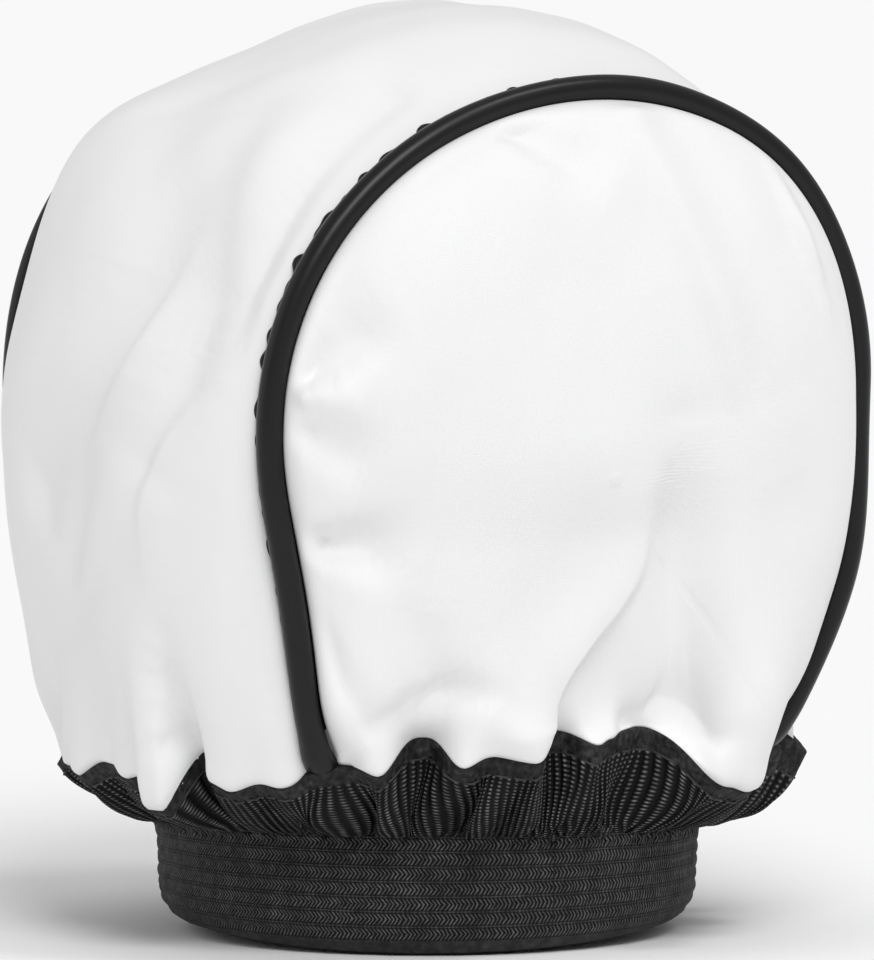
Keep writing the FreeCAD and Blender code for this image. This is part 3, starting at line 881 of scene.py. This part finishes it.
def fold_height(points, normals, crease, view):
    """How far one fold sinks each point of the cloth."""
    depth, (left, right), (first, last), path, flare = crease
    reach = 2.6 * max(left * flare, right * flare, FOLD_END)
    flat = points[:, view]
    close = np.all((flat > path.min(0) - reach) & (flat < path.max(0) + reach), axis=-1)
    sunk = np.zeros(len(points))
    if not close.any():
        return sunk
    near, normal = points[close], normals[close]
    path = laid_on(path, near, view)
    tangent = unit(np.gradient(path, axis=0))
    nearest = np.argmin(((near[:, None] - path[None]) ** 2).sum(-1), axis=1)
    offset = near - path[nearest]
    along = tangent[nearest]
    beyond = (offset * along).sum(-1)
    away = offset - along * beyond[:, None]
    above = (away * normal).sum(-1)
    away = away - normal * above[:, None]
    distance = np.linalg.norm(away, axis=1) + 1e-6
    turned = (away * np.cross(along, normal)).sum(-1) / distance
    distance = np.hypot(distance, np.clip(np.abs(above) - 2, 0, None))
    share = nearest / (len(path) - 1)
    width = (right + (left - right) * smooth(0.5 + turned / 2)) * (1 + (flare - 1) * share)
    rising = first + (1 - first) * smooth(share * 2)
    falling = 1 + (last - 1) * smooth(share * 2 - 1)
    strength = np.where(share < 0.5, rising, falling)
    past_end = (nearest == 0) | (nearest == len(path) - 1)
    shape = np.exp(-((distance / width) ** 2) - (np.where(past_end, beyond, 0) / FOLD_END) ** 2)
    sunk[close] = depth * strength * shape
    return sunk


def drape(points):
    """Small slow unevenness of hand-sewn cloth."""
    rng = np.random.default_rng(11)
    total = np.zeros(points.shape[:-1])
    for spacing in (34.0, 27.0, 21.0, 16.0, 12.0, 9.0):
        direction = rng.normal(size=3)
        direction /= np.linalg.norm(direction)
        total += spacing / 210.0 * np.sin(points @ direction * TURN / spacing + rng.uniform(0, TURN))
    return total


def relief(points, outward, folds, view, loose, wrap_columns=False):
    """Cloth with its folds: sunk and raised along its own normals, and left alone where loose is 0.
    The far half has the same folds, half a turn round."""
    normals = outward * surface_normals(points, wrap_columns)
    shown = points[..., 0] > 0 if view == SIDE_VIEW else points[..., 1] < 0
    sunk = np.zeros(shown.shape)
    for part, facing in ((shown, [1, 1, 1]), (~shown, [-1, -1, 1])):
        if part.any():
            seen, seen_normals = points[part] * facing, normals[part] * facing
            sunk[part] = sum(fold_height(seen, seen_normals, crease, view) for crease in folds)
    return points + normals * ((drape(points) - FOLD_STRENGTH * sunk) * loose)[..., None]


def clear_of_piping(out, across):
    """Moves cloth that would cut the piping out to its surface. Both are measured from its centre."""
    distance = np.hypot(out, across)
    least = PIPE_RADIUS + CLOTH_GAP
    push = np.where(distance < least, least / np.maximum(distance, 1e-6), 1.0)
    return out * push, across * push


def crown_rise(length, share):
    """How far the crown strip puffs out: length is from the apex, share from -1 to 1 across."""
    along = np.abs(length)
    part = along / ARCH.half_length
    waist = ARCH.ends[1] / ARCH.half_length
    rise = CROWN_RISE_TOP + 1.4 * np.clip(part / waist, 0, 1) ** 2
    rise = rise + 2.8 * np.clip((part - waist) / (1 - waist), 0, 1) ** 1.5
    rise = rise + 1.5 * hump(length, 22 - ARCH.half_length, 26)
    rise = rise - 3.0 * step_up(length, ARCH.half_length - 40, 26)
    left = rise - 2.3 * hump(length, -13, 28) - 2.0 * step_up(-length, 62, 16)
    left = left + 0.6 * hump(length, -41, 16) - 0.9 * hump(length, -64, 24)
    right = rise + 0.9 * hump(length, 10, 26) - 1.7 * hump(length, 31, 22)
    return left + (right - left) * smooth(0.5 + share)


def crown_profile(length, share):
    """The crown strip's section, 1 at its middle and 0 at the hoops, fuller towards the left hoop."""
    along = np.abs(length)
    lower = step_up(along, ARCH.half_length - 22, 22)
    right = 0.8 - 0.32 * step_up(along, 18, 36) + 0.2 * lower
    left = 0.36 + 0.4 * hump(along, 53, 22)
    power = np.where(share > 0, right, left)
    flatness = np.where(share > 0, 2.6, 3.4)
    return (1 - np.abs(share) ** flatness) ** power


def gathered(points, climb):
    """Takes smooth cloth down to the ruffled seam: climb is the distance up the cloth from it."""
    plan = np.hypot(points[..., 0], points[..., 1])
    azimuth = np.degrees(np.arctan2(points[..., 1], points[..., 0]))
    depth, sway = fold_depth(azimuth, climb)
    radius, height, _ = seam_curve(azimuth)
    near = np.exp(-((climb / 6.0) ** 2))
    plan = plan + (SEAM_RADIUS - plan) * near
    first = np.exp(-climb / 3.0)
    plan = plan + (radius - SEAM_RADIUS) * first - depth * (1 - first)
    lobe = np.clip(1 - fold_depth(azimuth)[0] / 5.0, 0, 1.2)
    plan = plan + 1.3 * lobe * (climb / 3.5) * np.exp(1 - climb / 3.5)
    sag = 0.9 * lobe * bump((climb - 1.6) / 1.8)
    plan = plan - 3.2 * at_feet(azimuth, 3.5) * np.exp(-((climb / 6.5) ** 2))
    slack = bump(turn_from(azimuth, SLACK_SIDE) / 24) + 0.5 * hump(azimuth, SMALL_SLACK_SIDE, 16)
    plan = plan - 3.8 * slack * smooth(climb / 2) * np.exp(-((climb / 13) ** 2))
    plan = plan - (0.5 + 1.2 * slack) * np.exp(-climb / 0.7)
    z = points[..., 2] + (SEAM_Z - points[..., 2] + climb) * near
    z = z + (height - SEAM_Z) * np.exp(-climb / 7.0) - sag
    return polar(plan, azimuth + sway, z)


def gather_blend(points, climb):
    """The gathered cloth near the seam, turning into the smooth cloth further up."""
    share = smooth((climb - 30) / 15)[..., None]
    return gathered(points, climb) * (1 - share) + points * share


def crown_lean(points, share):
    """The crown strip leans with the hoops along its edges, and less along its middle."""
    leaned = lean(points)
    middle = (1 - share**2)[..., None]
    return leaned + (points - leaned) * 0.85 * middle


def crown_grid():
    """The crown strip's outer face as a grid: along the hoops by across, and its place in the cloth."""
    rows, half_columns = 560, 96
    half = np.sin(np.linspace(0, math.pi / 2, half_columns))
    s = np.concatenate([-half[:0:-1], half])
    t_grid, s_grid = np.meshgrid(np.linspace(-1, 1, rows), s, indexing="ij")
    reach = ARCH.half_length + 2.8 - 4.8 * (1 - s_grid**2)
    l_grid = t_grid * reach
    base, normal = ARCH.at(l_grid)
    rise = crown_rise(l_grid, s_grid)
    out = -CLOTH_TUCK + (rise + CLOTH_TUCK) * crown_profile(l_grid, s_grid)
    x = np.abs(s_grid) * (HOOP_X - 0.5)
    out, from_hoop = clear_of_piping(out, HOOP_X - x)
    x = np.sign(s_grid) * (HOOP_X - from_hoop)
    y = base[..., 0] + normal[..., 0] * out
    z = base[..., 1] + normal[..., 1] * out
    points = crown_lean(np.stack([x, y, z], -1), s_grid)
    climb = reach - np.abs(l_grid)
    points = gather_blend(points, climb)
    loose = smooth((1 - np.abs(s_grid)) * HOOP_X / 4.0) * smooth(climb / 3)
    points = relief(points, -1, CROWN_FOLDS, FRONT_VIEW, loose)
    return points, np.stack([s_grid * HOOP_X, l_grid], -1)


def crown():
    """The crown strip, in two halves that meet along x = 0."""
    points, weave = crown_grid()
    normals = -surface_normals(points)
    middle = points.shape[1] // 2
    for word, side in (("left", -1), ("right", 1)):
        half = np.s_[:, : middle + 1] if side < 0 else np.s_[:, middle:]
        shell, faces, pattern = sheet_shell(points[half], normals[half], CLOTH_THICKNESS, weave[half])
        piece = build(f"crown_cloth_{word}", shell, faces, NYLON, "white_nylon", pattern)
        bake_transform(piece)
        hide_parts("crown_strip")


def side_edge(arch_count, seam_count):
    """The side panel's outline: along the hoop, where the cloth meets the piping, and along the seam."""
    length = np.linspace(-ARCH.half_length - 1.5, ARCH.half_length + 1.5, arch_count)
    point, normal = ARCH.at(length)
    meets = point - normal * PIPE_RADIUS * 0.72
    along_hoop = np.column_stack([np.full(arch_count, HOOP_X + PIPE_RADIUS * 0.75), meets])
    foot = math.degrees(math.atan2(meets[-1, 0], HOOP_X + 1.0))
    turn = np.linspace(foot, -foot, seam_count + 2)[1:-1]
    along_seam = polar(SEAM_RADIUS, turn, np.full(seam_count, SEAM_Z))
    inward = np.concatenate([-normal, np.tile([0.0, 1.0], (seam_count, 1))])
    return np.concatenate([along_hoop, along_seam]), inward


def side_cloth(word, side):
    """The D-shaped side panel, from its middle out to the hoop and the ruffled seam."""
    arch_count, seam_count, rows, tucked = 420, 260, 96, 5
    edge, inward = side_edge(arch_count, seam_count)
    count = len(edge)
    centre = np.array([HOOP_X + SIDE_RISE + 0.3, 0.0, SIDE_MIDDLE])
    rho = 1 - (1 - np.linspace(0.0, 1, rows + 1)[1:]) ** 1.6
    rho = rho[:, None]
    flat = centre[1:] + (edge[None, :, 1:] - centre[1:]) * rho[..., None]
    low = smooth((45 - edge[:, 2]) / 20)
    power = 0.55 - 0.12 * low
    profile = (1 - rho**2.4) ** power[None, :]
    x = edge[None, :, 0] + (centre[0] - edge[None, :, 0]) * profile
    points = lean(np.concatenate([x[..., None], flat], -1))
    climb = np.clip(points[..., 2] - SEAM_Z, 0, None)
    mirrored = points * [side, 1, 1]
    points = gather_blend(mirrored, climb)
    from_hoop = np.linalg.norm((edge[None, :, 1:] - centre[1:]) * (1 - rho[..., None]), axis=-1)
    loose = smooth(from_hoop / 1.6) * smooth((climb + 0.6) / 6)
    points = relief(points, -side, SIDE_FOLDS, SIDE_VIEW, loose, wrap_columns=True)
    share = np.linspace(0, 1, tucked + 1)[1:, None]
    hoop = slice(0, arch_count)
    tuck = np.repeat(points[-1:], tucked, 0)
    tuck[:, hoop, 1:] += inward[hoop] * (share * (CLOTH_TUCK - 1.2))[..., None]
    tuck[:, hoop, 0] -= side * share * PIPE_RADIUS * 0.55
    tuck[:, arch_count:, 2] -= share * 0.4
    tuck[:, arch_count:, :2] *= (1 - 0.01 * share)[..., None]
    points = np.concatenate([points, tuck])
    rows += tucked
    normal = surface_normals(points, wrap_columns=True)
    inner = points + side * normal * CLOTH_THICKNESS
    hubs = np.array([centre * [side, 1, 1], (centre - [CLOTH_THICKNESS, 0, 0]) * [side, 1, 1]])
    hubs = lean(hubs)
    total = rows * count
    outer_quads = grid_quads(rows, count, wrap_columns=True)
    ring = np.arange(count)
    after = np.roll(ring, -1)
    hub = np.full(count, 2 * total)
    last = total - count
    faces = [
        outer_quads,
        outer_quads[:, ::-1] + total,
        np.stack([hub, ring, after], -1),
        np.stack([hub + 1, after + total, ring + total], -1),
        np.stack([ring + last, ring + last + total, after + last + total, after + last], -1),
    ]
    if side < 0:
        faces = [f[:, ::-1] for f in faces]
    both = np.concatenate([points.reshape(-1, 3), inner.reshape(-1, 3), hubs])
    weave = both[:, 1:]
    piece = build(f"side_cloth_{word}", both, faces, NYLON, "white_nylon", weave)
    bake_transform(piece)
    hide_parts(f"side_panel_{word}")


# ---- threads


def stitches(name, runs, radius, material, slot, body, node):
    """A seam of separate stitches, each a short tube through its own few points."""
    parts = [tube(run, radius, 7) for run in runs]
    piece = build(name, *join(parts), material, slot)
    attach(piece, body)
    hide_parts(node)
    return piece


def gather_thread():
    """The stitches along the foot of the frill's hem, apart from where the hoops' feet are."""
    step = 360 / GATHER_STITCHES
    runs = []
    for middle in np.arange(GATHER_STITCHES) * 360 / GATHER_STITCHES:
        if at_feet(middle, 4.0) > 0.3:
            continue
        azimuth = middle + np.linspace(-0.36, 0.36, 7) * step
        share = np.full(7, HEM_SHARE)
        points = polar(*frill_surface(azimuth, share))
        below = polar(*frill_surface(azimuth, share - 0.03))
        along = np.gradient(points, axis=0)
        outward = unit(np.cross(along, points - below))
        bow = 0.16 - 0.3 * np.abs(np.linspace(-1, 1, 7))[:, None] ** 3
        runs.append(points + outward * bow)
    stitches("gather_stitches", runs, 0.14, BLACK_THREAD, "black_thread", "band", "gather_seam_thread")


def join_thread():
    """The zigzag through the lap where the elastic's ends meet."""
    corners = []
    for i in range(JOIN_STITCHES + 1):
        azimuth = JOIN_AZIMUTH + (JOIN_HALF_TURN if i % 2 else -JOIN_HALF_TURN)
        corners.append((azimuth, 1.6 + i * 0.8))
    runs = []
    for (a0, z0), (a1, z1) in zip(corners, corners[1:]):
        share = np.linspace(0, 1, 8)
        bow = 0.22 - 0.35 * np.abs(share * 2 - 1) ** 5
        widening = (TUBE_RADIUS_HIGH - TUBE_RADIUS_LOW) * z0 / TUBE_HEIGHT
        radius = TUBE_RADIUS_LOW + 0.55 + LAP_RISE + widening
        runs.append(polar(radius + bow, a0 + (a1 - a0) * share, z0 + (z1 - z0) * share))
    stitches("join_stitches", runs, 0.16, BLACK_THREAD, "black_thread", "band", "band_join_thread")


def flange_thread(word, side):
    """The lockstitch through the piping's flange, on both of its faces."""
    pitch, stitch = 2.8, 2.2
    reach = ARCH.half_length - 8
    runs = []
    for middle in np.arange(-reach, reach, pitch):
        length = middle + np.linspace(-0.5, 0.5, 5) * stitch
        bow = 0.12 - 0.3 * np.abs(np.linspace(-1, 1, 5)) ** 3
        for face in (1, -1):
            across = np.full(5, 1.0) * face * (FLANGE_THICKNESS / 2) + face * bow
            runs.append(beside_hoop(side, length, across, np.full(5, -PIPE_RADIUS - 3.2)))
    name = f"flange_stitches_{word}"
    stitches(name, runs, 0.14, WHITE_THREAD, "white_thread", f"hoop_{word}", f"piping_seam_thread_{word}")


# ---- stage


def stage():
    """A pale floor and an even white surround."""
    bpy.ops.mesh.primitive_plane_add(size=FLOOR_SIZE, location=(0, 0, 0))
    floor = bpy.context.object
    floor.name = "floor"
    floor.data.materials.append(plain("floor", (0.98, 0.98, 0.98), 0.9))
    world = bpy.data.worlds.new("world")
    bpy.context.scene.world = world
    world.use_nodes = True
    put(world.node_tree.nodes["Background"], Color=(1, 1, 1, 1), Strength=WORLD_STRENGTH)
    bpy.context.scene.view_settings.view_transform = "Standard"


def soft_sun(name, azimuth, elevation, strength, spread):
    """A distant softbox: its direction round the object and up, in degrees, and how wide it looks."""
    data = bpy.data.lights.new(name, "SUN")
    data.energy = strength
    data.angle = math.radians(spread)
    around, up = math.radians(azimuth), math.radians(elevation)
    back = Vector((math.cos(around) * math.cos(up), math.sin(around) * math.cos(up), math.sin(up)))
    aimed(name, data, back)


camera()
stage()
soft_sun("key", -14.0, 46.0, 1.3, 26.0)
soft_sun("window", 35.0, 64.0, 0.5, 14.0)
soft_sun("fill", -118.0, 18.0, 0.26, 50.0)

tube_piece = knit_tube()
frill_piece = frill()
for piece in (tube_piece, frill_piece):
    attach(piece, "band")
    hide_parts("elastic_band")
crown()
for word, side in (("right", 1), ("left", -1)):
    piping(word, side)
    side_cloth(word, side)
    flange_thread(word, side)
gather_thread()
join_thread()
